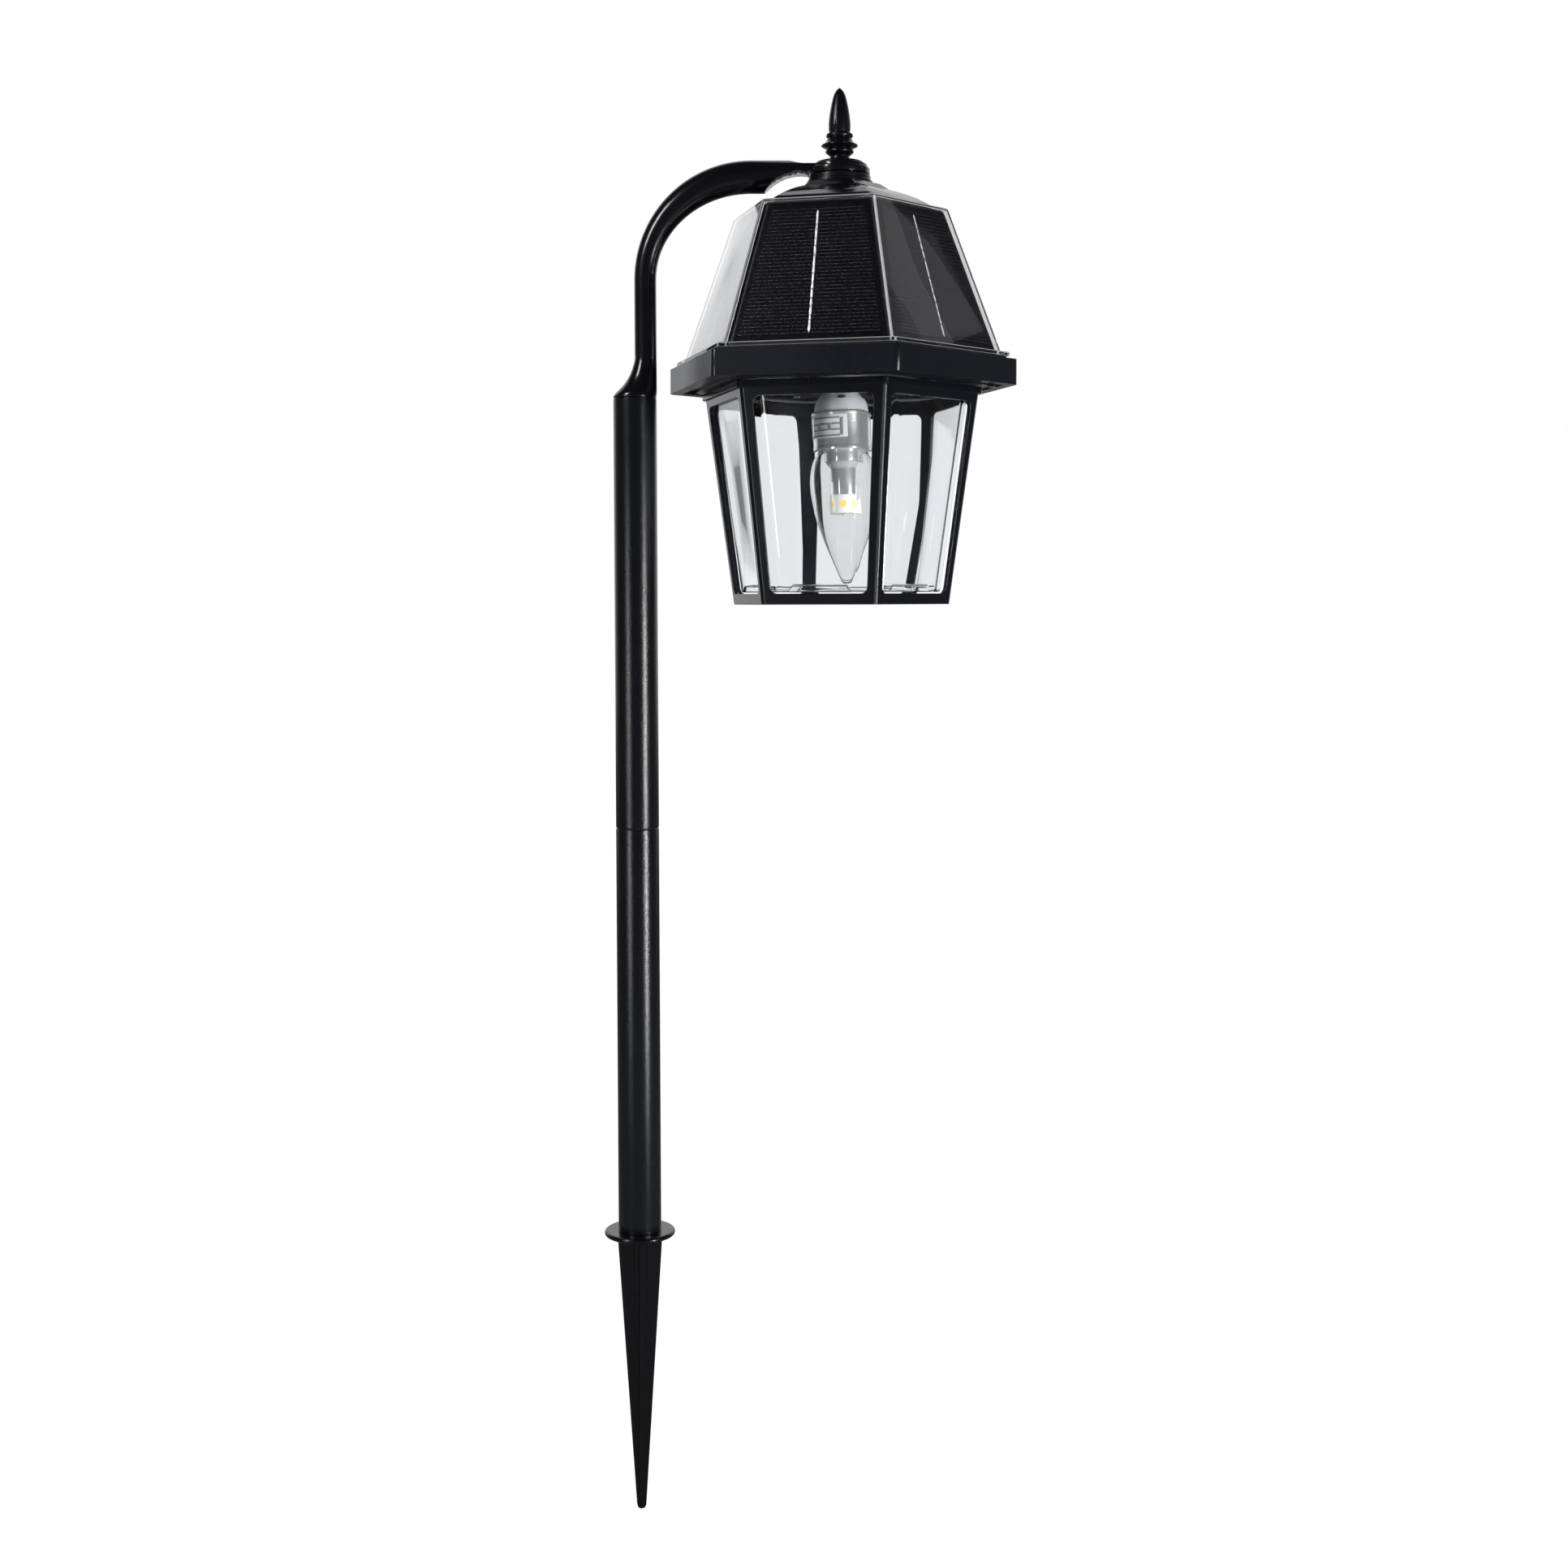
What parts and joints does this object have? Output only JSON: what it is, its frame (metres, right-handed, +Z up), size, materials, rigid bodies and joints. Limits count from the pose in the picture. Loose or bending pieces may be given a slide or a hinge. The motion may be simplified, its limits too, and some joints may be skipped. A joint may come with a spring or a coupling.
{
  "type": "solar garden light",
  "caption": "Black solar lantern on a stake pole: a hooked arm carries a six-sided glazed lantern with a solar roof and a torpedo lamp.",
  "frame": {"origin": "on the pole's axis at the underside of the stake's flange, which is ground level", "axes": "+Z up along the pole, +X from the pole to the lantern"},
  "size_m": [0.2422, 0.2, 0.8439],
  "materials": {
    "stake_plastic": "smooth injection-moulded black plastic, satin gloss",
    "pole_paint": "black powder coat with a fine orange-peel texture",
    "coupler_plastic": "matt black plastic",
    "arm_gloss": "smooth glossy black plastic",
    "hub_black": "smooth black plastic, semi-gloss",
    "lantern_black": "black plastic with a fine spark-eroded grain",
    "clear_cover": "clear polished plastic",
    "clear_liner": "clear polished plastic",
    "lamp_glass": "clear blown glass",
    "panel_backing": "black laminate under clear resin",
    "solar_silicon": "monocrystalline silicon with silver fingers and a busbar",
    "inner_black": "matt black plastic",
    "seal_foam": "closed-cell foam",
    "steel": "zinc-plated steel",
    "chrome": "bright chrome plating",
    "white_plastic": "smooth white plastic",
    "label_paper": "silver-grey label stock, blank bars only",
    "cone_grey": "satin aluminium",
    "led_white": "white solder mask",
    "led_phosphor": "yellow phosphor",
    "brass": "plain brass",
    "battery_wrap": "shrink-wrapped plain blue sleeve",
    "board_green": "green solder mask",
    "chip_black": "moulded epoxy",
    "wire_jacket": "PVC-insulated wire"
  },
  "bodies": {
    "pole": {"ground_stake": "stake_plastic", "lower_pole": "pole_paint", "pole_coupler": "coupler_plastic", "upper_pole": "pole_paint"},
    "hook": {"hook_arm": "arm_gloss", "hub_cap": "hub_black"},
    "lantern": {"swivel_collar": "hub_black", "hanger_stud": "steel", "stud_washer": "steel", "roof_dome": "hub_black", "cover_lens": "clear_cover", "cover_gasket": "seal_foam", "roof_core": "inner_black", "rim": "lantern_black", "ceiling_plate": "inner_black", "roof_screws": "steel", "battery_door": "inner_black", "door_screws": "steel", "battery_cell": "battery_wrap", "battery_holder": "inner_black", "battery_contacts": "steel", "control_board": "board_green", "board_parts": "chip_black", "board_screws": "steel", "panel_leads": "wire_jacket", "battery_leads": "wire_jacket", "lamp_leads": "wire_jacket", "lamp_socket": "white_plastic", "socket_contact": "brass", "solar_panel_1": "panel_backing", "solar_panel_2": "panel_backing", "solar_panel_3": "panel_backing", "solar_panel_4": "panel_backing", "solar_panel_5": "panel_backing", "solar_panel_6": "panel_backing", "solar_cell_1": "solar_silicon", "solar_cell_2": "solar_silicon", "solar_cell_3": "solar_silicon", "solar_cell_4": "solar_silicon", "solar_cell_5": "solar_silicon", "solar_cell_6": "solar_silicon"},
    "finial": {"finial": "hub_black"},
    "cage": {"cage": "lantern_black", "liner": "clear_liner"},
    "lamp": {"lamp_cap": "brass", "lamp_housing": "white_plastic", "lamp_tube": "chrome", "lamp_label": "label_paper", "lamp_neck": "chrome", "heat_cone": "cone_grey", "led_column": "chrome", "led_board": "led_white", "led_chips": "led_phosphor", "lamp_glass": "lamp_glass"},
    "switch": {"mode_switch": "chip_black"},
    "latch_right": {"latch_right": "lantern_black"},
    "latch_left": {"latch_left": "lantern_black"}
  },
  "joints": [
    {"name": "arm_swivel", "type": "hinge", "parent": "pole", "child": "hook", "pos_m": [0, 0, 0.4966], "axis": [0, 0, 1], "continuous": true},
    {"name": "lantern_swivel", "type": "hinge", "parent": "hook", "child": "lantern", "pos_m": [0.1204, 0, 0.629], "axis": [0, 0, 1], "continuous": true},
    {"name": "finial_thread", "type": "hinge", "parent": "lantern", "child": "finial", "pos_m": [0.1204, 0, 0.645], "axis": [0, 0, 1], "continuous": true},
    {"name": "cage_drop", "type": "slide", "parent": "lantern", "child": "cage", "axis": [0, 0, -1], "range_m": [0, 0.125]},
    {"name": "lamp_thread", "type": "hinge", "parent": "lantern", "child": "lamp", "pos_m": [0.1204, 0, 0.503], "axis": [-0.0349, 0, 0.9994], "continuous": true},
    {"name": "switch_slide", "type": "slide", "parent": "lamp", "child": "switch", "axis": [0.9994, 0, 0.0349], "range_m": [-0.0011, 0.0011]},
    {"name": "latch_right_press", "type": "slide", "parent": "lantern", "child": "latch_right", "axis": [-0.9699, 0.2436, 0], "range_m": [0, 0.0018], "stiffness_N_per_m": 300},
    {"name": "latch_left_press", "type": "slide", "parent": "lantern", "child": "latch_left", "axis": [0.9699, -0.2436, 0], "range_m": [0, 0.0018], "stiffness_N_per_m": 300}
  ]
}
